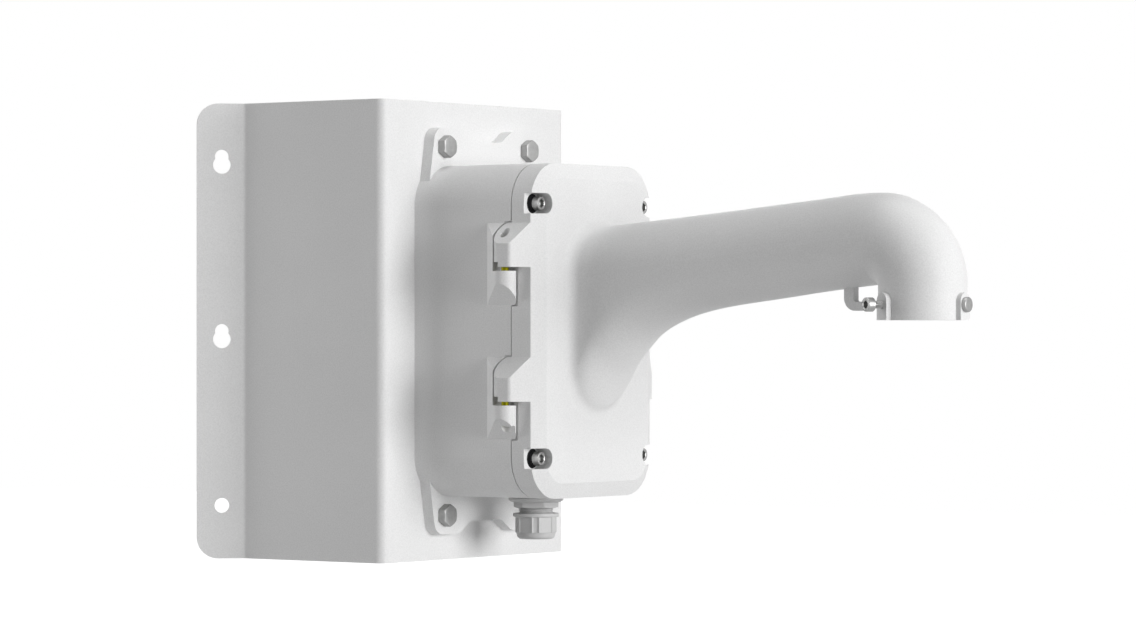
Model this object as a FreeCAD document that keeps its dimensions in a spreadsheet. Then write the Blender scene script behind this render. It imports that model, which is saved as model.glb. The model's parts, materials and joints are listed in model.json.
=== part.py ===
import FreeCAD, Part
import math
import os
import re
import Sketcher

# Corner mount for a camera: a folded corner plate, a cast junction box with a hinged cover,
# and a cast hollow arm with a threaded collar.
# Frame: origin on the edge of the building's corner at mid height, +Z up, the arm reaches to -Y.

doc = FreeCAD.newDocument("corner_mount")
sizes = doc.addObject("Spreadsheet::Sheet", "Sizes")

driving = {
    # folded corner plate
    "plate_height": 300.0, "plate_width": 200.0, "sheet": 3.0, "bend_inner": 3.0,
    "corner_gap": 17.0, "flange_length": 31.6, "flange_corner": 14.0,
    "fixing_reach": 153.5, "fixing_rise": 115.0, "slot_radius": 4.6, "key_radius": 5.9,
    "key_drop": 5.4, "fixing_radius": 4.9,
    "bolt_x": 45.3, "bolt_z": 120.4, "bolt_clear": 4.5, "cable_hole": 25.0,
    # junction box
    "ear_thick": 8.0, "ear_top": 132.8, "ear_side": 54.6, "ear_root": 66.5, "ear_step_x": 28.0,
    "ear_foot_x": 17.0, "ear_foot_z": 125.0, "ear_corner": 9.0,
    "ear_step_round": 12.0,
    "box_width": 133.4, "box_height": 216.0, "box_corner": 27.0, "box_depth": 77.8,
    "box_floor": 6.0, "cavity_wide": 58.0, "cavity_mid": 66.0, "cavity_narrow": 46.0,
    "cavity_tall": 100.0, "cavity_fillet": 5.0, "boss_lead": 3.5, "boss_tap": 2.1,
    "lead_depth": 4.0, "tap_depth": 14.0,
    "groove_in": 1.2, "groove_width": 2.7, "groove_depth": 2.2, "seal_gap": 0.8, "seal_side": 0.1,
    # cover
    "cover_band": 15.0, "cover_bevel": 5.4, "cover_bevel_run": 10.0, "cover_wall": 5.0,
    "cover_hollow_wide": 53.0, "cover_hollow_mid": 60.0, "cover_hollow_narrow": 41.0,
    "cover_hollow_tall": 97.0,
    "screw_x": 57.0, "screw_z": 81.7, "screw_slot": 6.6, "slot_floor": 9.6, "sink_radius": 6.4,
    "sink_floor": 5.4, "screw_clear": 2.75, "screw_head": 4.55, "screw_head_long": 11.5,
    "screw_shank": 2.4, "screw_tip": 2.0, "screw_key": 2.3, "screw_key_deep": 3.0,
    # hinge
    "hinge_x": 73.2, "hinge_back": 0.4, "knuckle": 7.0, "knuckle_round": 3.0, "recess": 8.6,
    "hinge_top": 69.4, "hinge_end": 16.6, "hinge_split": 38.4, "hinge_gap": 2.5,
    "recess_play": 0.8, "notch_rise": 3.2, "notch_back": 0.7, "lug_root": 19.2, "lug_turn": 39.1,
    "pin_slot": 1.7, "pin_slot_rise": 8.9,
    "pin_radius": 2.5, "pin_play": 0.06, "pin_depth": 11.0, "pin_sink": 10.0,
    "pin_mouth": 3.1, "pin_top": 15.0, "pin_end_gap": 0.5,
    "lug_bury": 5.0, "lug_lead": 4.0, "lug_skirt": 1.9, "lug_lap": 0.4, "bevel_reach": 24.0,
    # arm
    "arm_reach": 246.0, "elbow_radius": 30.0, "elbow_rise": 27.6, "elbow_tilt": 6.0,
    "arm_root_half": 31.3, "arm_tip_half": 28.5, "arm_root_top": 67.0, "arm_top_slope": 0.0875,
    "arm_root_low": 2.0, "arm_low_slope": 0.132, "root_drop": 54.2, "arm_wall": 4.5,
    "root_fillet": 7.0,
    # collar
    "collar_radius": 27.6, "collar_end": 6.7, "collar_thread": 22.4, "pad_reach": 30.4,
    "pad_half": 5.4, "pad_rise": 11.5, "pad_turn": 115.0, "pad_bury": 2.0,
    # locking screws of the collar
    "lock_z": 16.2, "lock_head": 4.4, "lock_head_long": 5.3, "lock_key": 4.4, "lock_key_deep": 3.0,
    "lock_shank": 2.4, "lock_hole": 2.5, "lock_out": 4.6, "lock_long": 12.0,
    "lock_cap": 4.7, "lock_cap_long": 2.9,
    # safety rope hook
    "hook_back": 55.5, "hook_thick": 7.0, "hook_width": 6.0, "hook_low": 12.6, "hook_bar": 5.7,
    "hook_tip": 10.5, "hook_round": 8.0, "hook_inner": 1.5, "hook_root": 31.0,
    # plate bolts
    "bolt_shank": 3.95, "bolt_head_flat": 13.0, "bolt_head_high": 5.6, "washer_radius": 8.0,
    "washer_bore": 4.2, "washer_thick": 1.6, "nut_high": 6.8, "nut_bore": 4.05, "bolt_end": 2.5,
    # cable gland
    "gland_y": 49.1, "gland_hole": 12.7, "gland_seal_radius": 17.4, "gland_seal_thick": 1.2,
    "gland_flange": 18.0, "gland_flange_high": 2.9,
    "gland_hex": 27.6, "gland_hex_high": 4.0, "gland_thread": 12.4, "gland_stub": 16.0,
    "gland_neck": 12.2, "gland_neck_long": 9.0, "gland_bore": 8.6, "gland_nut_hex": 30.0,
    "gland_nut_high": 5.0, "gland_nut_play": 0.05, "gland_insert_wall": 2.4, "gland_insert_play": 0.15,
    "cap_gap": 3.3, "cap_collar": 15.1, "cap_collar_high": 2.4, "cap_body": 13.2,
    "cap_body_high": 10.3, "cap_round": 3.2, "cap_dome": 4.2, "cap_floor": 3.4, "cap_hole": 7.2,
    "cap_play": 0.25, "cap_rib": 0.55, "cap_rib_width": 1.8, "cap_rib_root": 2.0,
    # earth terminal
    "earth_x": 30.0, "earth_z": 78.0, "earth_radius": 3.0, "earth_head": 5.5, "earth_head_high": 3.6,
    "earth_washer": 6.4, "earth_washer_thick": 1.2, "earth_boss": 8.0, "earth_boss_high": 5.0,
    "earth_key": 3.0, "earth_key_floor": 1.2, "earth_play": 0.1, "earth_ring_play": 0.2,
    "earth_deep": 8.0, "earth_long": 7.0,
    # how far a cut runs on past the surface that it opens, and a pad starts inside its wall
    "over": 1.0, "sunk": 0.5,
}
for row, (name, value) in enumerate(driving.items(), 1):
    sizes.set("A%d" % row, name)
    sizes.set("B%d" % row, str(value))
    sizes.setAlias("B%d" % row, name)

# places that several pieces share, kept as cells worked out from the cells above
derived = {
    "front": "corner_gap + sheet",
    "back_line": "corner_gap",
    "half_w": "box_width / 2",
    "rim": "corner_gap + sheet + box_depth",
    "cover_back": "corner_gap + sheet + box_depth + seal_gap",
    "cover_edge": "corner_gap + sheet + box_depth + seal_gap + cover_band",
    "cover_face": "corner_gap + sheet + box_depth + seal_gap + cover_band + cover_bevel",
    "hinge_y": "corner_gap + sheet + box_depth + hinge_back",
    "bend_y": "corner_gap + sheet + box_depth + seal_gap + cover_band + cover_bevel"
              " + arm_reach - elbow_radius",
    "collar_y": "corner_gap + sheet + box_depth + seal_gap + cover_band + cover_bevel + arm_reach",
    "gland_line": "corner_gap + sheet + gland_y",
    "box_low": "-box_height / 2",
}
shift = len(driving) + 1
known = set(driving) | set(derived)
for row, (name, text) in enumerate(derived.items(), shift + 1):
    cell = re.sub(r"[a-z_]+", lambda m: "B%d" % (list(driving).index(m.group()) + 1), text)
    sizes.set("A%d" % row, name)
    sizes.set("B%d" % row, "=" + cell)
    sizes.setAlias("B%d" % row, name)
doc.recompute()


def ex(text):
    text = str(text)
    return re.sub(r"[a-z_]+", lambda m: "Sizes." + m.group() if m.group() in known else m.group(), text)


def val(text):
    result = sizes.evalExpression(re.sub(r"Sizes\.", "", ex(text)))
    return float(getattr(result, "Value", result))


def new_body(label):
    body = doc.addObject("PartDesign::Body", label)
    body.Label = label
    return body


def new_sketch(body, plane, depth="0", rise="0", tilt="0", turn="0"):
    # plane XZ: the sketch faces -Y; plane XY: it faces +Z; depth runs along that direction
    sketch = body.newObject("Sketcher::SketchObject", "Sketch")
    base = [f for f in body.Origin.OriginFeatures if f.Role == plane][0]
    sketch.AttachmentSupport = [(base, "")]
    sketch.MapMode = "FlatFace"
    spin = FreeCAD.Rotation(FreeCAD.Vector(0, 1, 0), val(turn))
    spin = spin * FreeCAD.Rotation(FreeCAD.Vector(1, 0, 0), val(tilt))
    sketch.AttachmentOffset = FreeCAD.Placement(FreeCAD.Vector(0, val(rise), val(depth)), spin)
    sketch.setExpression(".AttachmentOffset.Base.z", ex(depth))
    sketch.setExpression(".AttachmentOffset.Base.y", ex(rise))
    if tilt != "0":
        sketch.setExpression(".AttachmentOffset.Rotation.Angle", ex("(%s) * 1deg" % tilt))
    return sketch


def place(sketch, index, vertex, x, y):
    for kind, text in (("DistanceX", x), ("DistanceY", y)):
        number = sketch.addConstraint(Sketcher.Constraint(kind, -1, 1, index, vertex, val(text)))
        sketch.setExpression("Constraints[%d]" % number, ex(text))


def polygon(sketch, corners):
    points = [FreeCAD.Vector(val(x), val(y), 0) for x, y in corners]
    first = sketch.GeometryCount
    for here, there in zip(points, points[1:] + points[:1]):
        sketch.addGeometry(Part.LineSegment(here, there), False)
    for i in range(len(points)):
        follower = first + (i + 1) % len(points)
        sketch.addConstraint(Sketcher.Constraint("Coincident", first + i, 2, follower, 1))
    for i, (x, y) in enumerate(corners):
        place(sketch, first + i, 1, x, y)


def circle(sketch, x, y, radius):
    shape = Part.Circle(FreeCAD.Vector(val(x), val(y), 0), FreeCAD.Vector(0, 0, 1), val(radius))
    index = sketch.addGeometry(shape, False)
    place(sketch, index, 3, x, y)
    number = sketch.addConstraint(Sketcher.Constraint("Radius", index, val(radius)))
    sketch.setExpression("Constraints[%d]" % number, ex(radius))


def stadium(sketch, radius, half):
    # two half circles joined by upright lines; half is half the length of those lines
    r, k = val(radius), val(half)
    up, flat = FreeCAD.Vector(0, 0, 1), FreeCAD.Vector
    top = sketch.addGeometry(Part.ArcOfCircle(Part.Circle(flat(0, k, 0), up, r), 0, math.pi), False)
    bowl = Part.ArcOfCircle(Part.Circle(flat(0, -k, 0), up, r), math.pi, 2 * math.pi)
    low = sketch.addGeometry(bowl, False)
    left = sketch.addGeometry(Part.LineSegment(flat(-r, k, 0), flat(-r, -k, 0)), False)
    right = sketch.addGeometry(Part.LineSegment(flat(r, -k, 0), flat(r, k, 0)), False)
    for one, a, two, b in ((top, 2, left, 1), (left, 2, low, 1), (low, 2, right, 1), (right, 2, top, 1)):
        sketch.addConstraint(Sketcher.Constraint("Tangent", one, a, two, b))
    for index, y in ((top, half), (low, "-(%s)" % half)):
        place(sketch, index, 3, "0", y)
        number = sketch.addConstraint(Sketcher.Constraint("Radius", index, r))
        sketch.setExpression("Constraints[%d]" % number, ex(radius))


def arch(sketch, half, low, spring):
    r, y, k = val(half), val(spring), val(low)
    up, flat = FreeCAD.Vector(0, 0, 1), FreeCAD.Vector
    top = sketch.addGeometry(Part.ArcOfCircle(Part.Circle(flat(0, y, 0), up, r), 0, math.pi), False)
    left = sketch.addGeometry(Part.LineSegment(flat(-r, y, 0), flat(-r, k, 0)), False)
    foot = sketch.addGeometry(Part.LineSegment(flat(-r, k, 0), flat(r, k, 0)), False)
    right = sketch.addGeometry(Part.LineSegment(flat(r, k, 0), flat(r, y, 0)), False)
    for kind, one, a, two, b in (("Tangent", top, 2, left, 1), ("Coincident", left, 2, foot, 1),
                                 ("Coincident", foot, 2, right, 1), ("Tangent", right, 2, top, 1)):
        sketch.addConstraint(Sketcher.Constraint(kind, one, a, two, b))
    place(sketch, top, 3, "0", spring)
    number = sketch.addConstraint(Sketcher.Constraint("Radius", top, r))
    sketch.setExpression("Constraints[%d]" % number, ex(half))
    number = sketch.addConstraint(Sketcher.Constraint("DistanceY", -1, 1, left, 2, k))
    sketch.setExpression("Constraints[%d]" % number, ex(low))
    sketch.addConstraint(Sketcher.Constraint("Horizontal", foot))


def hexagon(sketch, x, y, flats, start=0):
    corners = []
    for step in range(6):
        angle = "%d * 1deg" % (60 * step + start)
        corners.append(("(%s) + %s / sqrt(3) * cos(%s)" % (x, flats, angle),
                        "(%s) + %s / sqrt(3) * sin(%s)" % (y, flats, angle)))
    polygon(sketch, corners)


def grow(body, kind, sketch, length=None, middle=False, reverse=False, through=False):
    feature = body.newObject("PartDesign::" + kind, kind)
    feature.Profile = sketch
    if through:
        feature.Type = 1
    else:
        feature.Length = val(length)
        feature.setExpression("Length", ex(length))
    feature.Midplane = middle
    feature.Reversed = reverse
    doc.recompute()
    return feature


def pad(body, sketch, length, **options):
    return grow(body, "Pad", sketch, length, **options)


def pocket(body, sketch, length=None, **options):
    before = body.Shape.Volume
    feature = grow(body, "Pocket", sketch, length, **options)
    if not body.Shape.Volume < before - 0.01:
        raise RuntimeError("a pocket of %s takes nothing away" % body.Label)
    return feature


def edges_where(shape, test):
    return ["Edge%d" % (i + 1) for i, edge in enumerate(shape.Edges) if test(edge)]


def along(edge, axis):
    if not isinstance(edge.Curve, (Part.Line, Part.LineSegment)):
        return False
    a, b = edge.Vertexes[0].Point, edge.Vertexes[-1].Point
    direction = (b - a).normalize()
    return abs(abs(direction.dot(axis)) - 1) < 1e-6


def round_edges(body, radius, test):
    base = body.Tip
    names = edges_where(base.Shape, test)
    feature = body.newObject("PartDesign::Fillet", "Fillet")
    feature.Base = (base, names)
    feature.Radius = val(radius)
    feature.setExpression("Radius", ex(radius))
    doc.recompute()
    if not names or "Invalid" in feature.State:
        raise RuntimeError("a fillet of %s failed" % body.Label)
    return feature


X, Y, Z = FreeCAD.Vector(1, 0, 0), FreeCAD.Vector(0, 1, 0), FreeCAD.Vector(0, 0, 1)


def at(edge, axis):
    return edge.BoundBox.Center.dot(axis)


def near(a, b, slack=0.05):
    return abs(a - b) < slack


# corner plate: one folded sheet, front face, two side walls and two flanges at 45 degrees
plate = new_body("corner_plate")
half = "plate_width / 2"
diag = "sheet * sqrt(2)"
run = "flange_length / sqrt(2)"
lap = "sheet / sqrt(2)"
left_side = [
    ("-%s" % half, "-front"),
    ("-%s" % half, "%s - %s" % (half, diag)),
    ("-%s - %s" % (half, run), "%s - %s + %s" % (half, diag, run)),
    ("-%s - %s + %s" % (half, run, lap), "%s + %s - %s" % (half, run, lap)),
    ("-%s + sheet" % half, "%s - sheet" % half),
    ("-%s + sheet" % half, "-front + sheet"),
]
right_side = [("-(%s)" % x, y) for x, y in reversed(left_side)]
outline = new_sketch(plate, "XY_Plane")
polygon(outline, left_side + right_side)
pad(plate, outline, "plate_height", middle=True)
w, f, s = val(half), val("front"), val("sheet")
outer = [(-w, -f), (w, -f), (-w + s, w - s), (w - s, w - s)]
inner = [(-w + s, s - f), (w - s, s - f), (-w, w - s * math.sqrt(2)), (w, w - s * math.sqrt(2))]


def upright_at(places):
    def test(edge):
        return along(edge, Z) and any(near(at(edge, X), x) and near(at(edge, Y), y) for x, y in places)
    return test


round_edges(plate, "bend_inner + sheet", upright_at(outer))
round_edges(plate, "bend_inner", upright_at(inner))
tip_x = w + val(run)
slant = [FreeCAD.Vector(1, 1, 0).normalize(), FreeCAD.Vector(1, -1, 0).normalize()]
round_edges(plate, "flange_corner", lambda e: (along(e, slant[0]) or along(e, slant[1]))
            and abs(at(e, X)) > tip_x - 3 and near(abs(at(e, Z)), val("plate_height") / 2))
front_holes = new_sketch(plate, "XZ_Plane", "front")
for sx in ("-", ""):
    for sz in ("-", ""):
        circle(front_holes, sx + "bolt_x", sz + "bolt_z", "bolt_clear")
circle(front_holes, "0", "0", "cable_hole")
pocket(plate, front_holes, "sheet * 2 + 2", middle=True)
for turn, sign in (("-45", "-"), ("45", "")):
    flange_holes = new_sketch(plate, "XZ_Plane", turn=turn)
    circle(flange_holes, sign + "fixing_reach", "-fixing_rise", "fixing_radius")
    circle(flange_holes, sign + "fixing_reach", "0", "slot_radius")
    circle(flange_holes, sign + "fixing_reach", "fixing_rise", "slot_radius")
    pocket(plate, flange_holes, "sheet * 2 + 2", middle=True)
    key_holes = new_sketch(plate, "XZ_Plane", turn=turn)
    circle(key_holes, sign + "fixing_reach", "-key_drop", "key_radius")
    circle(key_holes, sign + "fixing_reach", "fixing_rise - key_drop", "key_radius")
    pocket(plate, key_holes, "sheet * 2 + 2", middle=True)


def cross(sketch, grown="0", kind="cavity"):
    # a block with its four corners cut out for the screw bosses, grown outwards by a set amount
    g = " + (%s)" % grown
    wide, mid, narrow, tall = [kind + "_" + side for side in ("wide", "mid", "narrow", "tall")]
    quarter = [(wide + g, mid + g), (narrow + g, mid + g), (narrow + g, tall + g)]
    corners = quarter + [("-(%s)" % x, z) for x, z in reversed(quarter)]
    corners = corners + [("-(%s)" % x, "-(%s)" % z) for x, z in quarter]
    corners = corners + [(x, "-(%s)" % z) for x, z in reversed(quarter)]
    polygon(sketch, corners)


def rounded_block(body, depth, length, corner):
    outline = new_sketch(body, "XZ_Plane", depth)
    x, z = "box_width / 2", "box_height / 2"
    polygon(outline, [("-" + x, "-" + z), (x, "-" + z), (x, z), ("-" + x, z)])
    pad(body, outline, length)
    return round_edges(body, corner, lambda e: along(e, Y) and near(abs(at(e, X)), val(x))
                       and near(abs(at(e, Z)), val(z)))


def lug(body, foot, corners, low, high, radius=None):
    # a hinge lug on each side of the box or cover, from height low to height high
    for side in ("-", ""):
        plan = new_sketch(body, "XY_Plane", low)
        polygon(plan, [("%s(%s)" % (side, x), "-(%s)" % y) for x, y in corners])
        pad(body, plan, "%s - (%s)" % (high, low))
        if radius:
            sx = -1 if side else 1
            x, y = val(corners[radius[0]][0]) * sx, -val(corners[radius[0]][1])
            z = (val(low) + val(high)) / 2
            round_edges(body, radius[1], lambda e: along(e, Z) and near(at(e, X), x)
                        and near(at(e, Y), y) and near(at(e, Z), z, 3))
    if foot:
        plan = new_sketch(body, "XY_Plane", low)
        circle(plan, "-hinge_x", "-hinge_y", "knuckle")
        circle(plan, "hinge_x", "-hinge_y", "knuckle")
        pad(body, plan, "%s - (%s)" % (high, low))


def hinge_circles(body, low, high, radius):
    plan = new_sketch(body, "XY_Plane", low)
    circle(plan, "-hinge_x", "-hinge_y", radius)
    circle(plan, "hinge_x", "-hinge_y", radius)
    pocket(body, plan, "%s - (%s)" % (high, low), reverse=True)


def bevel(body, level, direction, depth_from, depth_to):
    # slanted end of a hinge lug: a 45 degree cut that starts at the box side
    for side in ("-", ""):
        wedge = new_sketch(body, "XZ_Plane", depth_from)
        near_side, far_side = side + "half_w", side + "(half_w + bevel_reach)"
        polygon(wedge, [(near_side, level), (far_side, level),
                        (far_side, "%s %s bevel_reach" % (level, direction))])
        pocket(body, wedge, "%s - (%s)" % (depth_to, depth_from), reverse=True)


levels = [("hinge_end", "hinge_split", "hinge_top")]
levels.append(("-hinge_top", "hinge_split - hinge_end - hinge_top", "-hinge_end"))

# junction box: cast housing with ears for four bolts, half of each hinge, and a seal groove
box = new_body("junction_box")
ears = new_sketch(box, "XZ_Plane", "front")
quarter = [("half_w", "ear_root"), ("ear_side", "ear_top"),
           ("ear_step_x", "ear_top"), ("ear_foot_x", "ear_foot_z")]
around = quarter + [("-" + x, z) for x, z in reversed(quarter)]
around = around + [("-" + x, "-" + z) for x, z in quarter] + [(x, "-" + z) for x, z in reversed(quarter)]
polygon(ears, around)
pad(box, ears, "ear_thick")
round_edges(box, "ear_corner", lambda e: along(e, Y) and near(abs(at(e, X)), val("ear_side"))
            and near(abs(at(e, Z)), val("ear_top")))
round_edges(box, "ear_step_round", lambda e: along(e, Y) and abs(at(e, X)) < val("ear_step_x") + 1)
shell = new_sketch(box, "XZ_Plane", "front")
polygon(shell, [("-half_w", "-box_height / 2"), ("half_w", "-box_height / 2"),
                ("half_w", "box_height / 2"), ("-half_w", "box_height / 2")])
pad(box, shell, "box_depth")
round_edges(box, "box_corner", lambda e: along(e, Y) and near(abs(at(e, X)), val("half_w"))
            and near(abs(at(e, Z)), val("box_height") / 2))
lug_corners = [("half_w - lug_bury", "hinge_y - lug_root - lug_lead"), ("half_w", "hinge_y - lug_root"),
               ("hinge_x + knuckle * cos(lug_turn * 1deg)", "hinge_y - knuckle * sin(lug_turn * 1deg)"),
               ("hinge_x", "hinge_y"),
               ("hinge_x - knuckle", "hinge_y"), ("half_w - lug_skirt", "rim"),
               ("half_w - lug_bury", "rim - lug_lap")]
for low, split, high in levels:
    lug(box, False, lug_corners, low, high)
    lug_foot = new_sketch(box, "XY_Plane", low)
    circle(lug_foot, "-hinge_x", "-hinge_y", "knuckle")
    circle(lug_foot, "hinge_x", "-hinge_y", "knuckle")
    pad(box, lug_foot, "%s - (%s)" % (split, low))
    hinge_circles(box, split, "%s + over" % high, "recess")
    for level, direction in ((high, "-"), (low, "+")):
        bevel(box, level, direction, "hinge_y - lug_root - 2 * lug_lead", "hinge_y + knuckle + over")
cavity = new_sketch(box, "XZ_Plane", "rim")
cross(cavity)
pocket(box, cavity, "box_depth - box_floor")
round_edges(box, "cavity_fillet", lambda e: along(e, Y) and abs(at(e, X)) < val("cavity_wide") + 0.1
            and abs(at(e, X)) > val("cavity_narrow") - 0.1 and e.Length > val("box_depth") - 10)
groove = new_sketch(box, "XZ_Plane", "rim")
cross(groove, "groove_in + groove_width")
cross(groove, "groove_in")
pocket(box, groove, "groove_depth")
rear = new_sketch(box, "XZ_Plane", "front")
for sx in ("-", ""):
    for sz in ("-", ""):
        circle(rear, sx + "bolt_x", sz + "bolt_z", "bolt_clear")
circle(rear, "0", "0", "cable_hole")
pocket(box, rear, "ear_thick + over", reverse=True)
for radius, depth in (("boss_lead", "lead_depth"), ("boss_tap", "tap_depth")):
    boss = new_sketch(box, "XZ_Plane", "rim")
    for sx in ("-", ""):
        for sz in ("-", ""):
            circle(boss, sx + "screw_x", sz + "screw_z", radius)
    pocket(box, boss, depth)
gland_hole = new_sketch(box, "XY_Plane", "box_low - over")
circle(gland_hole, "0", "-gland_line", "gland_hole")
pocket(box, gland_hole, "over - box_low - cavity_tall + over", reverse=True)
earth = new_sketch(box, "XZ_Plane", "front + box_floor - sunk")
circle(earth, "earth_x", "-earth_z", "earth_boss")
pad(box, earth, "earth_boss_high + sunk")
earth_hole = new_sketch(box, "XZ_Plane", "front + box_floor + earth_boss_high")
circle(earth_hole, "earth_x", "-earth_z", "earth_radius")
pocket(box, earth_hole, "earth_deep")
upper_pin = new_sketch(box, "XY_Plane", "hinge_split")
circle(upper_pin, "-hinge_x", "-hinge_y", "pin_radius")
circle(upper_pin, "hinge_x", "-hinge_y", "pin_radius")
pocket(box, upper_pin, "pin_depth")
lower_pin = new_sketch(box, "XY_Plane", "-hinge_top - over")
circle(lower_pin, "-hinge_x", "-hinge_y", "pin_radius")
circle(lower_pin, "hinge_x", "-hinge_y", "pin_radius")
pocket(box, lower_pin, "hinge_split - hinge_end + 2 * over", reverse=True)
pin_slot = new_sketch(box, "XY_Plane", "-hinge_top - over")
for side in ("-", ""):
    x1, x2 = side + "(hinge_x - pin_slot)", side + "(hinge_x + pin_slot)"
    polygon(pin_slot, [(x1, "-hinge_y"), (x2, "-hinge_y"),
                       (x2, "-(hinge_y + knuckle + over)"), (x1, "-(hinge_y + knuckle + over)")])
pocket(box, pin_slot, "pin_slot_rise + over", reverse=True)

# cover and arm: one casting, a bevelled cover that runs out into a hollow arm with a turned down end
arm = new_body("cover_arm")
rounded_block(arm, "cover_back", "cover_band + cover_bevel", "box_corner")
front_rim = edges_where(arm.Shape, lambda e: near(e.BoundBox.YMin, -val("cover_face"))
                        and near(e.BoundBox.YMax, -val("cover_face")))
blank = arm.Tip
bevel_cut = arm.newObject("PartDesign::Chamfer", "Chamfer")
bevel_cut.Base = (blank, front_rim)
bevel_cut.ChamferType = "Two distances"
bevel_cut.Size = val("cover_bevel")
bevel_cut.Size2 = val("cover_bevel_run")
bevel_cut.setExpression("Size", ex("cover_bevel"))
bevel_cut.setExpression("Size2", ex("cover_bevel_run"))
doc.recompute()
if arm.Shape.BoundBox.XLength < val("box_width") - 0.01 or not bevel_cut.isValid():
    raise RuntimeError("the cover's bevel failed")
slope = "cover_bevel / cover_bevel_run"
knuckle_out = "(hinge_x + knuckle - half_w)"
arm_lug = [("half_w - lug_bury", "cover_edge + lug_bury * %s" % slope),
           ("hinge_x + knuckle", "cover_edge - %s * %s" % (knuckle_out, slope)),
           ("hinge_x + knuckle", "hinge_y"), ("hinge_x - knuckle", "hinge_y"),
           ("half_w - lug_skirt", "cover_back + lug_lap"), ("half_w - lug_bury", "cover_back + lug_lap")]
for low, split, high in levels:
    knuckle_low = "%s + hinge_gap" % split
    lug(arm, True, arm_lug, knuckle_low, high, (1, "knuckle_round"))
    hinge_circles(arm, "%s - recess_play" % low, knuckle_low, "recess")
    bevel(arm, high, "-", "hinge_y - knuckle - over", "cover_face + over")
    step = new_sketch(arm, "XY_Plane", knuckle_low)
    for side in ("-", ""):
        x1, x2 = side + "(hinge_x - knuckle - over)", side + "(hinge_x + knuckle + over)"
        y1, y2 = "-hinge_y + notch_back", "-hinge_y + knuckle + over"
        polygon(step, [(x1, y1), (x2, y1), (x2, y2), (x1, y2)])
    pocket(arm, step, "notch_rise", reverse=True)

# arm: sections along the casting, set out as a share of its straight length, with the share
# of the root's drop that each keeps
straight = "(bend_y - cover_face + elbow_radius * sin(elbow_tilt * 1deg))"
stations = [(-0.024, 1.0), (0.006, 0.99), (0.040, 0.87), (0.080, 0.63), (0.127, 0.44),
            (0.170, 0.29), (0.215, 0.186), (0.270, 0.105), (0.335, 0.047), (0.42, 0.01),
            (0.53, 0.0), (0.68, 0.0), (0.86, 0.0)]
bends = [-0.0667, 0.10, 0.28, 0.46, 0.64, 0.82, 1.0]


def arm_section(body, share, drop, wall):
    reach = "%s * %s" % (share, straight)
    top = "(arm_root_top + arm_top_slope * %s)" % reach
    low = "(arm_root_low + arm_low_slope * %s - root_drop * %s)" % (reach, drop)
    radius = "(arm_root_half + (arm_tip_half - arm_root_half) * %s)" % max(share, 0)
    centre = "(%s + %s) / 2" % (top, low)
    upright = "(%s - %s) / 2 - %s" % (top, low, radius)
    section = new_sketch(body, "XZ_Plane", "cover_face + " + reach, centre)
    stadium(section, "%s - %s" % (radius, wall), "max(%s; 0.2)" % upright)
    return section


def elbow_section(body, share, wall):
    angle = "%s * 90" % share
    turned = "(%s * 1deg)" % angle
    section = new_sketch(body, "XZ_Plane", "bend_y + elbow_radius * sin%s" % turned,
                         "elbow_rise + elbow_radius * cos%s" % turned, tilt=angle)
    radius = "arm_tip_half + (collar_radius - arm_tip_half) * %s" % max(share, 0)
    stadium(section, "%s - %s" % (radius, wall), "0.2 - 0.15 * %s" % max(share, 0))
    return section


def arm_sections(body, wall, places):
    sections = [arm_section(body, share, drop, wall) for share, drop in places]
    return sections + [elbow_section(body, share, wall) for share in bends]


skin = arm_sections(arm, "0", stations)
doc.recompute()
loft = arm.newObject("PartDesign::AdditiveLoft", "ArmSkin")
loft.Profile = skin[0]
loft.Sections = skin[1:]
doc.recompute()
root = edges_where(arm.Shape, lambda e: near(e.BoundBox.YMin, -val("cover_face"), 0.02)
                   and near(e.BoundBox.YMax, -val("cover_face"), 0.02)
                   and abs(e.BoundBox.Center.x) < val("arm_root_half") + 2 and abs(e.BoundBox.Center.z) < 80
                   and e.BoundBox.XMax < 40 and e.BoundBox.XMin > -40)
joined = arm.Tip
fillet = arm.newObject("PartDesign::Fillet", "RootFillet")
fillet.Base = (joined, root)
fillet.Radius = val("root_fillet")
fillet.setExpression("Radius", ex("root_fillet"))
doc.recompute()
if not fillet.isValid() or len(root) == 0:
    raise RuntimeError("the arm's root fillet failed")
collar = new_sketch(arm, "XY_Plane", "collar_end")
circle(collar, "0", "-collar_y", "collar_radius")
pad(arm, collar, "elbow_rise - collar_end")

# three raised pads with arched tops around the collar, one for each locking screw
pad_turns = ["0", "pad_turn", "-pad_turn"]


def on_pad(sketch, turn, depth):
    # moves a sketch that faces away from the collar's axis to the given distance from it
    angle = "%s * 1deg" % turn
    across, out = "(%s) * sin(%s)" % (depth, angle), "collar_y + (%s) * cos(%s)" % (depth, angle)
    sketch.AttachmentOffset = FreeCAD.Placement(FreeCAD.Vector(val(across), 0, val(out)),
                                                sketch.AttachmentOffset.Rotation)
    sketch.setExpression(".AttachmentOffset.Base.x", ex(across))
    sketch.setExpression(".AttachmentOffset.Base.z", ex(out))


for turn in pad_turns:
    facing = new_sketch(arm, "XZ_Plane", "pad_reach", turn=turn)
    on_pad(facing, turn, "pad_reach")
    arch(facing, "pad_half", "collar_end", "collar_end + pad_rise")
    pad(arm, facing, "pad_reach - collar_thread - pad_bury", reverse=True)

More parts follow.
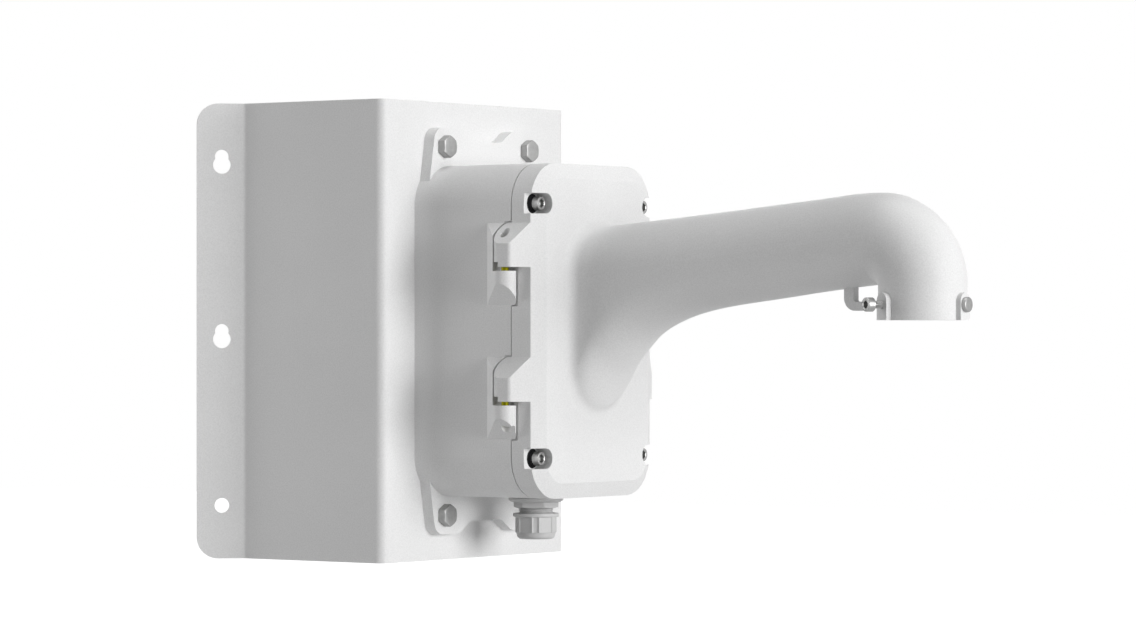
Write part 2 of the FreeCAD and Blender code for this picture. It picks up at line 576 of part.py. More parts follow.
# hook for the safety rope under the arm, near the collar
hook = new_sketch(arm, "YZ_Plane", "-hook_width / 2")
front_line = "-(collar_y - hook_back)"
polygon(hook, [("%s" % front_line, "hook_root"), ("%s" % front_line, "hook_low"),
               ("%s - hook_thick - hook_tip" % front_line, "hook_low"),
               ("%s - hook_thick - hook_tip" % front_line, "hook_low + hook_bar"),
               ("%s - hook_thick" % front_line, "hook_low + hook_bar"),
               ("%s - hook_thick" % front_line, "hook_root")])
pad(arm, hook, "hook_width")
heel_y, heel_z = -val("collar_y - hook_back"), val("hook_low")
round_edges(arm, "hook_round", lambda e: along(e, X) and near(at(e, Y), heel_y) and near(at(e, Z), heel_z))
crook_y, crook_z = heel_y - val("hook_thick"), heel_z + val("hook_bar")
round_edges(arm, "hook_inner", lambda e: along(e, X) and near(at(e, Y), crook_y) and near(at(e, Z), crook_z))

# screw seats open to the side, with a round sink for each screw head
for depth, radius in (("slot_floor", "screw_slot"), ("sink_floor", "sink_radius"), ("-over", "screw_clear")):
    seats = new_sketch(arm, "XZ_Plane", "cover_face")
    for sx in ("-", ""):
        for sz in ("-", ""):
            circle(seats, sx + "screw_x", sz + "screw_z", radius)
    pocket(arm, seats, "cover_band + cover_bevel - (%s)" % depth)
slots = new_sketch(arm, "XZ_Plane", "cover_face")
for sx in ("-", ""):
    for sz in ("-", ""):
        x1, x2 = sx + "screw_x", sx + "(half_w + over)"
        z1, z2 = "%s(screw_z - screw_slot)" % sz, "%s(screw_z + screw_slot)" % sz
        polygon(slots, [(x1, z1), (x2, z1), (x2, z2), (x1, z2)])
pocket(arm, slots, "cover_band + cover_bevel - slot_floor")

# hollow of the cover and the cable way through the arm
hollow = new_sketch(arm, "XZ_Plane", "cover_back")
cross(hollow, kind="cover_hollow")
pocket(arm, hollow, "cover_band + cover_bevel - cover_wall", reverse=True)
back_y, floor_y = -val("cover_back"), -val("cover_face - cover_wall")
round_edges(arm, "cavity_fillet", lambda e: along(e, Y) and near(e.BoundBox.YMax, back_y)
            and near(e.BoundBox.YMin, floor_y))
throat = [(-0.055, 0.95), (0.006, 0.89), (0.040, 0.71), (0.080, 0.50), (0.127, 0.335),
          (0.170, 0.21), (0.215, 0.125), (0.270, 0.06), (0.335, 0.02), (0.42, 0.0),
          (0.53, 0.0), (0.68, 0.0), (0.86, 0.0)]
way = arm_sections(arm, "arm_wall", throat)
doc.recompute()
solid = arm.Shape.Volume
bore = arm.newObject("PartDesign::SubtractiveLoft", "CableWay")
bore.Profile = way[0]
bore.Sections = way[1:]
doc.recompute()
if not arm.Shape.Volume < solid - 1000:
    raise RuntimeError("the cable way takes nothing away")
thread = new_sketch(arm, "XY_Plane", "elbow_rise + sunk")
circle(thread, "0", "-collar_y", "collar_thread")
pocket(arm, thread, "elbow_rise + sunk - collar_end + over")
for turn in pad_turns:
    drill = new_sketch(arm, "XZ_Plane", "pad_reach", turn=turn)
    on_pad(drill, turn, "pad_reach")
    circle(drill, "0", "lock_z", "lock_hole")
    pocket(arm, drill, "pad_reach - collar_thread + over")

# bores for the hinge pins
for low, split, high in levels:
    open_top = low == "hinge_end"
    bores = new_sketch(arm, "XY_Plane", "%s + hinge_gap" % split)
    for side in ("-", ""):
        circle(bores, side + "hinge_x", "-hinge_y", "pin_radius + pin_play")
    pocket(arm, bores, "hinge_top - hinge_split" if open_top else "pin_depth", reverse=True)
    if open_top:
        mouth = new_sketch(arm, "XY_Plane", "%s + hinge_gap + pin_top" % split)
        for side in ("-", ""):
            circle(mouth, side + "hinge_x", "-hinge_y", "pin_mouth")
        pocket(arm, mouth, "hinge_top - hinge_split - pin_top", reverse=True)

# seal between box and cover
gasket = new_body("cover_gasket")
ring = new_sketch(gasket, "XZ_Plane", "rim - groove_depth")
cross(ring, "groove_in + groove_width - seal_side")
cross(ring, "groove_in + seal_side")
pad(gasket, ring, "groove_depth + seal_gap")


def stack(label, plane, x, y, steps, turn="0", start=0, spot=None):
    # a turned or hexagonal piece: each step is (shape, size, from, to) along its own axis
    body = new_body(label)
    for shape, size, low, high in steps:
        sketch = new_sketch(body, plane, low, turn=turn)
        if spot:
            spot(sketch, turn, low)
        if "hex" in shape:
            hexagon(sketch, x, y, size, start)
        else:
            circle(sketch, x, y, size)
        if shape.endswith("cut"):
            pocket(body, sketch, "(%s) - (%s)" % (high, low), reverse=True)
        else:
            pad(body, sketch, "(%s) - (%s)" % (high, low))
    return body


corner_names = {("-", ""): "upper_left", ("", ""): "upper_right",
                ("-", "-"): "lower_left", ("", "-"): "lower_right"}
seat = "front + ear_thick"
for (sx, sz), place_name in corner_names.items():
    x, z = sx + "bolt_x", sz + "bolt_z"
    stack("box_bolt_" + place_name, "XZ_Plane", x, z, [
        ("hex", "bolt_head_flat", seat, seat + " + bolt_head_high"),
        ("round", "bolt_shank", "back_line - washer_thick - nut_high - bolt_end", seat)])
    stack("plate_washer_" + place_name, "XZ_Plane", x, z, [
        ("round", "washer_radius", "back_line - washer_thick", "back_line"),
        ("round cut", "washer_bore", "back_line - washer_thick - over", "back_line + over")])
    stack("plate_nut_" + place_name, "XZ_Plane", x, z, [
        ("hex", "bolt_head_flat", "back_line - washer_thick - nut_high", "back_line - washer_thick"),
        ("round cut", "nut_bore", "back_line - washer_thick - nut_high - over",
         "back_line - washer_thick + over")])
for (sx, sz), place_name in corner_names.items():
    x, z = sx + "screw_x", sz + "screw_z"
    stack("cover_screw_" + place_name, "XZ_Plane", x, z, [
        ("round", "screw_head", "cover_back + sink_floor", "cover_back + sink_floor + screw_head_long"),
        ("round", "screw_shank", "rim - screw_tip", "cover_back + sink_floor"),
        ("hex cut", "screw_key * 2", "cover_back + sink_floor + screw_head_long - screw_key_deep",
         "cover_back + sink_floor + screw_head_long + over")])
stack("hinge_pin_upper", "XY_Plane", "-hinge_x", "-hinge_y", [
    ("round", "pin_radius", "hinge_split - pin_depth",
     "hinge_split + hinge_gap + pin_top - 2 * pin_end_gap")])
stack("hinge_pin_lower", "XY_Plane", "-hinge_x", "-hinge_y", [
    ("round", "pin_radius", "-hinge_top + pin_sink",
     "hinge_split - hinge_end - hinge_top + hinge_gap + pin_depth - pin_end_gap")])

# locking screws of the collar: the front one driven home, the two rear ones backed out
stack("collar_screw_front", "XZ_Plane", "0", "lock_z", [
    ("round", "lock_cap", "pad_reach", "pad_reach + lock_cap_long"),
    ("round", "lock_shank", "pad_reach - lock_long + lock_out", "pad_reach")], turn="0", spot=on_pad)
for turn, place_name in (("-pad_turn", "left"), ("pad_turn", "right")):
    top = "pad_reach + lock_out"
    stack("collar_screw_" + place_name, "XZ_Plane", "0", "lock_z", [
        ("round", "lock_head", top, top + " + lock_head_long"),
        ("round", "lock_shank", top + " - lock_long", top),
        ("hex cut", "lock_key", top + " + lock_head_long - lock_key_deep",
         top + " + lock_head_long + over")],
        turn=turn, spot=on_pad)

# earth terminal inside the box
floor_line = "front + box_floor + earth_boss_high"
stack("earth_washer", "XZ_Plane", "earth_x", "-earth_z", [
    ("round", "earth_washer", floor_line, floor_line + " + earth_washer_thick"),
    ("round cut", "earth_radius + earth_ring_play", floor_line + " - over",
     floor_line + " + earth_washer_thick + over")])
stack("earth_screw", "XZ_Plane", "earth_x", "-earth_z", [
    ("round", "earth_head", floor_line + " + earth_washer_thick",
     floor_line + " + earth_washer_thick + earth_head_high"),
    ("round", "earth_radius - earth_play", floor_line + " - earth_long",
     floor_line + " + earth_washer_thick"),
    ("hex cut", "earth_key", floor_line + " + earth_washer_thick + earth_key_floor",
     floor_line + " + earth_washer_thick + earth_head_high + over")])

# cable gland under the box
under = "box_low - gland_seal_thick"
shoulder = under + " - gland_flange_high"
hex_low = shoulder + " - gland_hex_high"
cap_top = hex_low + " - cap_gap"
cap_low = cap_top + " - cap_collar_high - cap_body_high - cap_dome"
wall_in = "-cavity_tall"
stack("gland_seal", "XY_Plane", "0", "-gland_line", [
    ("round", "gland_seal_radius", under, "box_low"),
    ("round cut", "gland_hole", under + " - over", "box_low + over")])
gland = stack("gland_body", "XY_Plane", "0", "-gland_line", [
    ("round", "gland_flange", shoulder, under),
    ("hex", "gland_hex", hex_low, shoulder),
    ("round", "gland_neck", hex_low + " - gland_neck_long", hex_low),
    ("round", "gland_thread", under, under + " + gland_stub"),
    ("round cut", "gland_bore", hex_low + " - gland_neck_long - over",
     under + " + gland_stub + over")], start=15)
stack("gland_locknut", "XY_Plane", "0", "-gland_line", [
    ("hex", "gland_nut_hex", wall_in, wall_in + " + gland_nut_high"),
    ("round cut", "gland_thread + gland_nut_play", wall_in + " - over",
     wall_in + " + gland_nut_high + over")])
insert_low = cap_low + " + cap_floor"
stack("gland_insert", "XY_Plane", "0", "-gland_line", [
    ("round", "gland_bore - gland_insert_play", insert_low, hex_low),
    ("round cut", "gland_bore - gland_insert_play - gland_insert_wall", insert_low + " - over",
     hex_low + " + over")])
cap = stack("gland_cap", "XY_Plane", "0", "-gland_line", [
    ("round", "cap_collar", cap_top + " - cap_collar_high", cap_top),
    ("round", "cap_body", cap_low, cap_top + " - cap_collar_high")])
rim_z = val(cap_low)
round_edges(cap, "cap_round", lambda e: near(e.BoundBox.ZMin, rim_z) and near(e.BoundBox.ZMax, rim_z)
            and e.BoundBox.XLength > val("cap_body"))
ribs = new_sketch(cap, "XY_Plane", cap_low + " + cap_dome", "-gland_line")
reach = "cap_body + cap_rib"
foot = "cap_body - cap_rib_root"
polygon(ribs, [(foot, "-cap_rib_width / 2"), (reach, "-cap_rib_width / 2"),
               (reach, "cap_rib_width / 2"), (foot, "cap_rib_width / 2")])
rib = pad(cap, ribs, "cap_body_high")
pattern = cap.newObject("PartDesign::PolarPattern", "RibPattern")
pattern.Originals = [rib]
pattern.Axis = (ribs, ["N_Axis"])
pattern.Angle = 360
pattern.Occurrences = 8
cap.Tip = pattern
doc.recompute()
if "Invalid" in pattern.State:
    raise RuntimeError("the cap's ribs failed")
inside = new_sketch(cap, "XY_Plane", insert_low)
circle(inside, "0", "-gland_line", "gland_neck + cap_play")
pocket(cap, inside, cap_top + " - (%s) + over" % insert_low, reverse=True)
mouth = new_sketch(cap, "XY_Plane", cap_low + " - over")
circle(mouth, "0", "-gland_line", "cap_hole")
pocket(cap, mouth, "cap_floor + 2 * over", reverse=True)

# check every object, then write one file for each piece
doc.recompute()
for item in doc.Objects:
    if "Invalid" in item.State or "Error" in item.State:
        raise RuntimeError("%s is not valid" % item.Name)
os.makedirs("parts", exist_ok=True)
for body in doc.findObjects("PartDesign::Body"):
    if body.Shape.isNull() or not body.Shape.isValid() or len(body.Shape.Solids) != 1:
        raise RuntimeError("%s is not one valid solid" % body.Label)
    body.Shape.exportStep("parts/%s.step" % body.Label)
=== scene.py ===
import json
import math

import bpy
import numpy as np
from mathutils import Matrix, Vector


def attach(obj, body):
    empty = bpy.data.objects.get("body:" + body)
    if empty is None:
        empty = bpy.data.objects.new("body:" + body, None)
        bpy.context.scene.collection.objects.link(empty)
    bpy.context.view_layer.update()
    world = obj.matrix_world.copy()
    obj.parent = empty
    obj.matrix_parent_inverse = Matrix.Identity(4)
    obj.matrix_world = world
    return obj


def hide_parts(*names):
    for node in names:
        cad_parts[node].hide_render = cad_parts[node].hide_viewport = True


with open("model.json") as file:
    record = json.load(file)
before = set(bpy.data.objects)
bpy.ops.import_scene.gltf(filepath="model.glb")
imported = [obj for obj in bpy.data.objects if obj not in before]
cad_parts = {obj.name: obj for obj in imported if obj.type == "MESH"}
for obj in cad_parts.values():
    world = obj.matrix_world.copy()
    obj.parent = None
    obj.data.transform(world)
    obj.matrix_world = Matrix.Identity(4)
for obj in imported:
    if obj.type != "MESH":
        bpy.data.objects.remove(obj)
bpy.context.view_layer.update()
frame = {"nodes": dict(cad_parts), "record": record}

# Corner mount for a camera: powder-coated castings and folded plate from the CAD, with turned
# screws, bolts, nuts, a cable gland, pins and a threaded ring worked out here as surfaces.
# Sizes of pieces are in mm, and MM makes them metres. Sizes of the studio are in metres.

MM = 0.001


# Nodes and colours

def linear(code):
    """sRGB hex to a linear colour: c / 12.92 below 0.04045, ((c + 0.055) / 1.055) ** 2.4 above."""
    parts = [int(code[i:i + 2], 16) / 255 for i in (1, 3, 5)]
    return tuple(c / 12.92 if c <= 0.04045 else ((c + 0.055) / 1.055) ** 2.4 for c in parts) + (1.0,)


def add(tree, kind, settings=None, **inputs):
    """Adds one node: settings are its own properties, inputs are values or (node, output) links. An
    input is named by its socket, or in0, in1 and so on by its place."""
    node = tree.nodes.new(kind)
    for name, value in (settings or {}).items():
        setattr(node, name, value)
    for name, value in inputs.items():
        key = name.replace("_", " ")
        socket = node.inputs[int(key[2:])] if key[:2] == "in" and key[2:].isdigit() else node.inputs[key]
        if isinstance(value, tuple) and hasattr(value[0], "outputs"):
            tree.links.new(value[0].outputs[value[1]], socket)
        else:
            socket.default_value = value
    return node


def new_material(name):
    """An empty node material and its tree."""
    material = bpy.data.materials.new(name)
    material.use_nodes = True
    material.node_tree.nodes.clear()
    return material, material.node_tree


def noise(tree, place, size_mm, detail, **inputs):
    """Noise in the object's own coordinates, with features of about the given size."""
    return add(tree, "ShaderNodeTexNoise", Vector=(place, "Object"), Scale=1 / (size_mm * MM), Detail=detail,
               **inputs)


def swing(tree, source, middle, spread):
    """A factor that swings by spread either side of middle as the source goes from 0 to 1."""
    return add(tree, "ShaderNodeMath", {"operation": "MULTIPLY_ADD"}, in0=source, in1=2 * spread,
               in2=middle - spread)


def product(tree, one, other):
    """One value times another."""
    return add(tree, "ShaderNodeMath", {"operation": "MULTIPLY"}, in0=one, in1=other)


def larger(tree, one, other):
    """The larger of two values."""
    return add(tree, "ShaderNodeMath", {"operation": "MAXIMUM"}, in0=one, in1=other)


def tinted(tree, colour, tone):
    """The colour, made darker or lighter by the tone."""
    return add(tree, "ShaderNodeVectorMath", {"operation": "SCALE"}, in0=linear(colour)[:3], Scale=(tone, 0))


# Finishes

def powder_coat(name, colour, peel_mm, peel_depth_mm):
    """Polyester powder coat, baked on: a satin skin with melted grains that catch the light as a fine
    speckle, and a slow drift of tone where the coat lies thicker."""
    material, tree = new_material(name)
    place = add(tree, "ShaderNodeTexCoord")
    grain = noise(tree, place, peel_mm, 2.0, Roughness=0.6)
    drift = noise(tree, place, 55, 2.0)
    speckle = swing(tree, (grain, "Fac"), 1.0, 0.14)
    cloud = swing(tree, (drift, "Fac"), 1.0, 0.03)
    paint = tinted(tree, colour, product(tree, (speckle, 0), (cloud, 0)))
    peel = add(tree, "ShaderNodeBump", Height=(grain, "Fac"), Strength=0.35, Distance=peel_depth_mm * MM)
    satin = swing(tree, (grain, "Fac"), 0.52, 0.07)
    skin = add(tree, "ShaderNodeBsdfPrincipled", Base_Color=(paint, 0), Roughness=(satin, 0), IOR=1.5,
               Specular_IOR_Level=0.25, Normal=(peel, 0))
    add(tree, "ShaderNodeOutputMaterial", Surface=(skin, 0))
    return material


def turned_metal(name, colour, shade, roughness):
    """Metal turned on a lathe: the tool's fine rings, 0.22 mm apart, run round each piece, so faces
    shine in bands, with a faint mottle of handling between them."""
    material, tree = new_material(name)
    along = add(tree, "ShaderNodeUVMap", {"uv_map": "turning"})
    split = add(tree, "ShaderNodeSeparateXYZ", Vector=(along, "UV"))
    rings = add(tree, "ShaderNodeTexNoise", {"noise_dimensions": "1D"}, W=(split, "Y"), Scale=1 / 0.22,
                Detail=3.0)
    mottle = noise(tree, add(tree, "ShaderNodeTexCoord"), 2.5, 3.0)
    paint = add(tree, "ShaderNodeMix", {"data_type": "RGBA"}, Factor=(mottle, "Fac"), in6=linear(colour),
                in7=linear(shade))
    groove = add(tree, "ShaderNodeBump", Height=(rings, "Fac"), Strength=0.3, Distance=0.03 * MM)
    worn = product(tree, (rings, "Fac"), (mottle, "Fac"))
    dull = swing(tree, (worn, 0), roughness + 0.06, 0.12)
    skin = add(tree, "ShaderNodeBsdfPrincipled", Base_Color=(paint, 2), Roughness=(dull, 0), Metallic=1.0,
               Normal=(groove, 0))
    add(tree, "ShaderNodeOutputMaterial", Surface=(skin, 0))
    return material


def moulded(name, colour, grain_mm, grain_depth_mm, roughness, shine):
    """Moulded nylon or rubber: the spark-eroded mould leaves an even, fine matt grain."""
    material, tree = new_material(name)
    place = add(tree, "ShaderNodeTexCoord")
    grain = noise(tree, place, grain_mm, 2.0)
    flow = noise(tree, place, 14, 1.0)
    fine = swing(tree, (grain, "Fac"), 1.0, 0.08)
    slow = swing(tree, (flow, "Fac"), 1.0, 0.05)
    paint = tinted(tree, colour, product(tree, (fine, 0), (slow, 0)))
    bump = add(tree, "ShaderNodeBump", Height=(grain, "Fac"), Strength=0.4, Distance=grain_depth_mm * MM)
    dull = swing(tree, (grain, "Fac"), roughness, 0.08)
    skin = add(tree, "ShaderNodeBsdfPrincipled", Base_Color=(paint, 0), Roughness=(dull, 0), IOR=1.5,
               Specular_IOR_Level=shine, Normal=(bump, 0))
    add(tree, "ShaderNodeOutputMaterial", Surface=(skin, 0))
    return material


COAT_WHITE = "#E9E9E9"
cast_coat = powder_coat("powder_coat_on_cast_aluminium", COAT_WHITE, 0.9, 0.09)

finishes = {
    "white_powder_coat_plate": powder_coat("powder_coat_on_folded_steel", COAT_WHITE, 0.9, 0.08),
    "white_powder_coat_box": cast_coat,
    "white_powder_coat_arm": cast_coat,
    "bolt_steel": turned_metal("pressed_stainless_steel", "#AEAEAD", "#949494", 0.46),
    "screw_steel": turned_metal("turned_stainless_steel", "#A9A9A8", "#8C8C8C", 0.42),
    "yellow_pin_steel": turned_metal("yellow_passivated_steel", "#7F7C12", "#68660C", 0.5),
    "earth_brass": turned_metal("turned_brass", "#CDAA5F", "#A88845", 0.28),
    "seal_rubber": moulded("black_seal_rubber", "#1B1B1D", 0.5, 0.03, 0.75, 0.2),
    "grey_nylon": moulded("light_grey_nylon", "#C6C6C6", 0.6, 0.04, 0.5, 0.4),
}
for part in frame["record"]["subparts"]:
    node = frame["nodes"][part["node"]]
    node.data.materials.clear()
    node.data.materials.append(finishes[part["material_slot"]])


# Turned surfaces

def unit_hexagon(angle):
    """Radius of a hexagon with soft corners whose flats lie 1 from its middle: 1 over the 48-norm of
    the cosines of the angle to each of the six flats."""
    norm = 48
    cosines = np.stack([np.clip(np.cos(angle - k * math.pi / 3), 0, None) for k in range(6)])
    return 1 / (cosines ** norm).sum(axis=0) ** (1 / norm)


def turned(name, rows, spot, axis, around=144, start=0.0, ripple=None, closed=False):
    """A profile carried round an axis: point = spot + u r cos a + v r sin a + axis h. A row is (radius,
    height) or (radius, height, half flat), and r is its radius, or the hexagon's where that is less,
    plus the ripple of angle, radius and height. The profile starts and ends on the axis, or closes."""
    columns = np.array([row if len(row) == 3 else (*row, np.inf) for row in rows], dtype=float).T
    radius, height, half_flat = columns[:, :, None]
    angle = np.linspace(0, 2 * math.pi, around, endpoint=False)[None, :]
    r = np.minimum(radius, unit_hexagon(angle) * half_flat)
    if ripple is not None:
        r = r + ripple(angle, radius, height)
    along = Vector(axis).normalized()
    u = Vector((1, 0, 0)) if abs(along.z) > 0.99 else Vector((0, 0, 1)).cross(along).normalized()
    v = along.cross(u)
    turn = angle + start
    grid = (np.array(spot)[None, None, :]
            + (r * np.cos(turn))[:, :, None] * np.array(u)
            + (r * np.sin(turn))[:, :, None] * np.array(v)
            + (height + 0 * angle)[:, :, None] * np.array(along))
    steps = np.hypot(np.diff(radius[:, 0]), np.diff(height[:, 0]))
    path = np.concatenate([[0.0], np.cumsum(steps)])
    return grid_mesh(name, grid * MM, path, closed)


def grid_mesh(name, grid, path, closed):
    """A grid of points, closed round its second side, as a mesh; its ends are poles, or it closes on
    itself. Its UV map holds the angle as a share of a turn and the way along the profile in mm."""
    rows, around = grid.shape[:2]
    if closed:
        index = np.arange(rows * around).reshape(rows, around)
        index = np.vstack([index, index[:1]])
        path = np.append(path, path[-1] + 1.0)
        points = grid.reshape(-1, 3)
    else:
        between = 1 + np.arange((rows - 2) * around).reshape(rows - 2, around)
        first_pole = np.zeros((1, around), int)
        last_pole = np.full((1, around), 1 + between.size)
        index = np.vstack([first_pole, between, last_pole])
        points = np.vstack([grid[0, :1], grid[1:-1].reshape(-1, 3), grid[-1, :1]])
    beside = np.roll(index, -1, axis=1)
    quads = np.stack([index[:-1], beside[:-1], beside[1:], index[1:]], axis=2).reshape(-1, 4)
    share = np.linspace(0, 1, around + 1)
    left, low = np.meshgrid(share[:-1], path[:-1])
    right, high = np.meshgrid(share[1:], path[1:])
    uv = np.stack([left, low, right, low, right, high, left, high], axis=2).reshape(-1, 4, 2)
    keep = np.ones(quads.shape, bool)
    keep[quads[:, 0] == quads[:, 1], 1] = False
    keep[quads[:, 2] == quads[:, 3], 3] = False
    sides = keep.sum(axis=1)
    mesh = bpy.data.meshes.new(name)
    mesh.vertices.add(len(points))
    mesh.vertices.foreach_set("co", points.ravel())
    mesh.loops.add(int(sides.sum()))
    mesh.loops.foreach_set("vertex_index", quads[keep])
    mesh.polygons.add(len(quads))
    mesh.polygons.foreach_set("loop_start", np.concatenate([[0], np.cumsum(sides)[:-1]]))
    layer = mesh.uv_layers.new(name="turning")
    layer.data.foreach_set("uv", uv[keep].ravel())
    mesh.update(calc_edges=True)
    mesh.validate()
    mesh.set_sharp_from_angle(angle=math.radians(38))
    return mesh


def new_object(name, data):
    """An object of the scene that shows the given data."""
    item = bpy.data.objects.new(name, data)
    bpy.context.scene.collection.objects.link(item)
    return item


def place_piece(name, mesh, body, slot, *nodes):
    """Puts in a finished mesh as one piece that rides on a body and stands for the given nodes."""
    piece = new_object(name, mesh)
    mesh.materials.append(finishes[slot])
    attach(piece, body)
    if nodes:
        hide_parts(*nodes)
    return piece


def cone(from_radius, to_radius, from_height, to_height, half_flat, count=9):
    """Rows along a straight cone that a hexagon cuts."""
    return [(from_radius + (to_radius - from_radius) * k / count,
             from_height + (to_height - from_height) * k / count, half_flat) for k in range(count + 1)]


def straight(radius, low, high, step, half_flat=np.inf):
    """Rows up a straight wall, about a step apart."""
    count = max(2, int(round(abs(high - low) / step)))
    return [(radius, low + (high - low) * k / count, half_flat) for k in range(count + 1)]


def thread_wave(angle, height, pitch):
    """A triangle wave from 0 to 1 and back, of the height over the pitch less the angle over a turn."""
    turn = height / pitch - angle / (2 * math.pi)
    return np.abs(2 * (turn - np.floor(turn)) - 1)


def thread_ripple(low, high, pitch, depth, radius):
    """A screw thread, cut into the rows between low and high that lie at the given radius."""
    def ripple(angle, row_radius, height):
        inside = (height >= low) & (height <= high) & (np.abs(row_radius - radius) < 0.01)
        return -depth * thread_wave(angle, height, pitch) * inside
    return ripple


CORNERS = {"upper_left": (-1, 1), "upper_right": (1, 1), "lower_left": (-1, -1), "lower_right": (1, -1)}
OUT = (0, -1, 0)
UP = (0, 0, 1)

# Heights along OUT, from the edge of the building's corner.
PLATE_BACK = 17.0
PLATE_FRONT = 20.0
EAR_FACE = 28.0
BOX_DEPTH = 77.8
BOX_RIM = PLATE_FRONT + BOX_DEPTH
COVER_BACK = 98.6


def corner_spot(corner, across, rise):
    """Where the axis of a bolt or screw near a corner meets the plane y = 0."""
    side, level = CORNERS[corner]
    return side * across, 0, level * rise


# Bolts, washers and nuts of the box: M8, 13 mm across flats

BOLT_AT = (45.3, 120.4)
BOLT_HIGH = 5.6
BOLT_SHANK = 3.95
BOLT_PAST_NUT = 2.5
WASHER_THICK = 1.6
NUT_FACE = PLATE_BACK - WASHER_THICK
NUT_HIGH = 6.8
HALF_FLAT = 6.5
CORNER_RADIUS = 7.6


def plate_bolt(corner):
    """Hexagon bolt, its corners chamfered down to a round face, and a shank whose thread, 1.25 mm a
    turn, shows behind the nut."""
    top = EAR_FACE + BOLT_HIGH
    end = NUT_FACE - NUT_HIGH - BOLT_PAST_NUT
    rows = [(0, end), (3.1, end)] + straight(BOLT_SHANK, end + 0.8, NUT_FACE, 0.16)
    rows += [(BOLT_SHANK, EAR_FACE), (6.35, EAR_FACE)]
    rows += cone(6.9, CORNER_RADIUS, EAR_FACE + 0.05, EAR_FACE + 0.45, HALF_FLAT, 4)
    rows += cone(CORNER_RADIUS, 6.45, top - 0.66, top - 0.07, HALF_FLAT)
    rows += [(6.25, top), (3.0, top), (0, top)]
    thread = thread_ripple(end + 0.5, NUT_FACE, 1.25, 0.6, BOLT_SHANK)
    mesh = turned("bolt_" + corner, rows, corner_spot(corner, *BOLT_AT), OUT, ripple=thread)
    place_piece("hexagon_bolt_" + corner, mesh, "housing", "bolt_steel", "box_bolt_" + corner)


def plate_washer(corner):
    """Flat washer, pressed out of sheet: one rim is rolled over, the other is left keen."""
    low, high = NUT_FACE, PLATE_BACK
    rows = [(4.25, low + 0.15), (4.5, low), (7.6, low), (7.9, low + 0.15), (8.0, low + 0.45),
            (8.0, high - 0.05), (7.95, high - 0.01), (4.3, high - 0.01), (4.2, high - 0.1)]
    mesh = turned("washer_" + corner, rows, corner_spot(corner, *BOLT_AT), OUT, around=72, closed=True)
    place_piece("flat_washer_" + corner, mesh, "housing", "bolt_steel", "plate_washer_" + corner)


def plate_nut(corner):
    """Hexagon nut, chamfered at both faces, with a countersink at each end of its bore."""
    low, high = NUT_FACE - NUT_HIGH, NUT_FACE
    rows = [(4.05, low + 0.7), (4.7, low + 0.05), (6.1, low)]
    rows += cone(6.2, CORNER_RADIUS, low + 0.05, low + 0.9, HALF_FLAT)
    rows += cone(CORNER_RADIUS, 6.2, high - 0.9, high - 0.05, HALF_FLAT)
    rows += [(6.1, high), (4.7, high - 0.05), (4.05, high - 0.7)]
    mesh = turned("nut_" + corner, rows, corner_spot(corner, *BOLT_AT), OUT, closed=True)
    place_piece("hexagon_nut_" + corner, mesh, "housing", "bolt_steel", "plate_nut_" + corner)


for corner in CORNERS:
    plate_bolt(corner)
    plate_washer(corner)
    plate_nut(corner)


# Cover screws, M5, and the black rings in their sinks, whose black is painted shade

SCREW_AT = (57.0, 81.7)
SINK_FLOOR = COVER_BACK + 5.4
SLOT_FLOOR = COVER_BACK + 9.5
SCREW_TOP = SINK_FLOOR + 11.5
HEAD_LOW = SCREW_TOP - 4.9


def cover_screw(corner):
    """Socket head screw: a head with straight knurling, a bright chamfered rim and a hexagon socket
    that ends in a drilled cone, on a plain shank."""
    tip = BOX_RIM - 2.0
    head, shank, socket, socket_flat = 4.5, 2.4, 2.75, 2.45
    teeth = 30
    rows = [(0, tip), (1.9, tip), (shank, tip + 0.5), (shank, HEAD_LOW), (4.3, HEAD_LOW),
            (head, HEAD_LOW + 0.2)]
    rows += straight(head, HEAD_LOW + 0.4, SCREW_TOP - 1.1, 0.8)
    rows += [(head, SCREW_TOP - 0.55), (4.45, SCREW_TOP - 0.3), (4.3, SCREW_TOP - 0.08), (4.1, SCREW_TOP),
             (3.1, SCREW_TOP), (socket, SCREW_TOP - 0.35, socket_flat),
             (socket, SCREW_TOP - 1.2, socket_flat), (socket, SCREW_TOP - 3.0, socket_flat),
             (2.2, SCREW_TOP - 3.1), (0, SCREW_TOP - 4.0)]

    def knurl(angle, radius, height):
        """Straight grooves 0.12 mm deep: a triangle wave, abs((angle teeth / pi) mod 2 - 1)."""
        wave = np.abs(((angle * teeth / math.pi) % 2) - 1)
        inside = (height > HEAD_LOW + 0.3) & (height < SCREW_TOP - 0.9) & (radius > head - 0.1)
        return -0.12 * wave * inside
    mesh = turned("screw_" + corner, rows, corner_spot(corner, *SCREW_AT), OUT, around=240, ripple=knurl)
    place_piece("socket_screw_" + corner, mesh, "cover", "screw_steel", "cover_screw_" + corner)


def screw_sink_shade_ring(corner):
    """Black ring under the screw's head, whose black is painted shade in the round sink: a flange that
    fills the sink and a sleeve that the head presses on."""
    bore, flange, sleeve = 2.55, 6.3, 4.75
    rows = [(bore, SINK_FLOOR + 0.05), (flange, SINK_FLOOR + 0.05), (flange, SLOT_FLOOR - 0.5),
            (6.2, SLOT_FLOOR - 0.2), (5.95, SLOT_FLOOR - 0.03), (5.0, SLOT_FLOOR), (4.8, SLOT_FLOOR + 0.2),
            (sleeve, SLOT_FLOOR + 0.6), (sleeve, HEAD_LOW - 0.3), (4.6, HEAD_LOW - 0.08),
            (4.4, HEAD_LOW - 0.02), (bore, HEAD_LOW - 0.02)]
    mesh = turned("sink_shade_ring_" + corner, rows, corner_spot(corner, *SCREW_AT), OUT, around=96, closed=True)
    # The black rubber finish on this ring is painted shade for the dark sink round the head.
    place_piece("screw_sink_shade_ring_" + corner, mesh, "cover", "seal_rubber")


for corner in CORNERS:
    cover_screw(corner)
    screw_sink_shade_ring(corner)


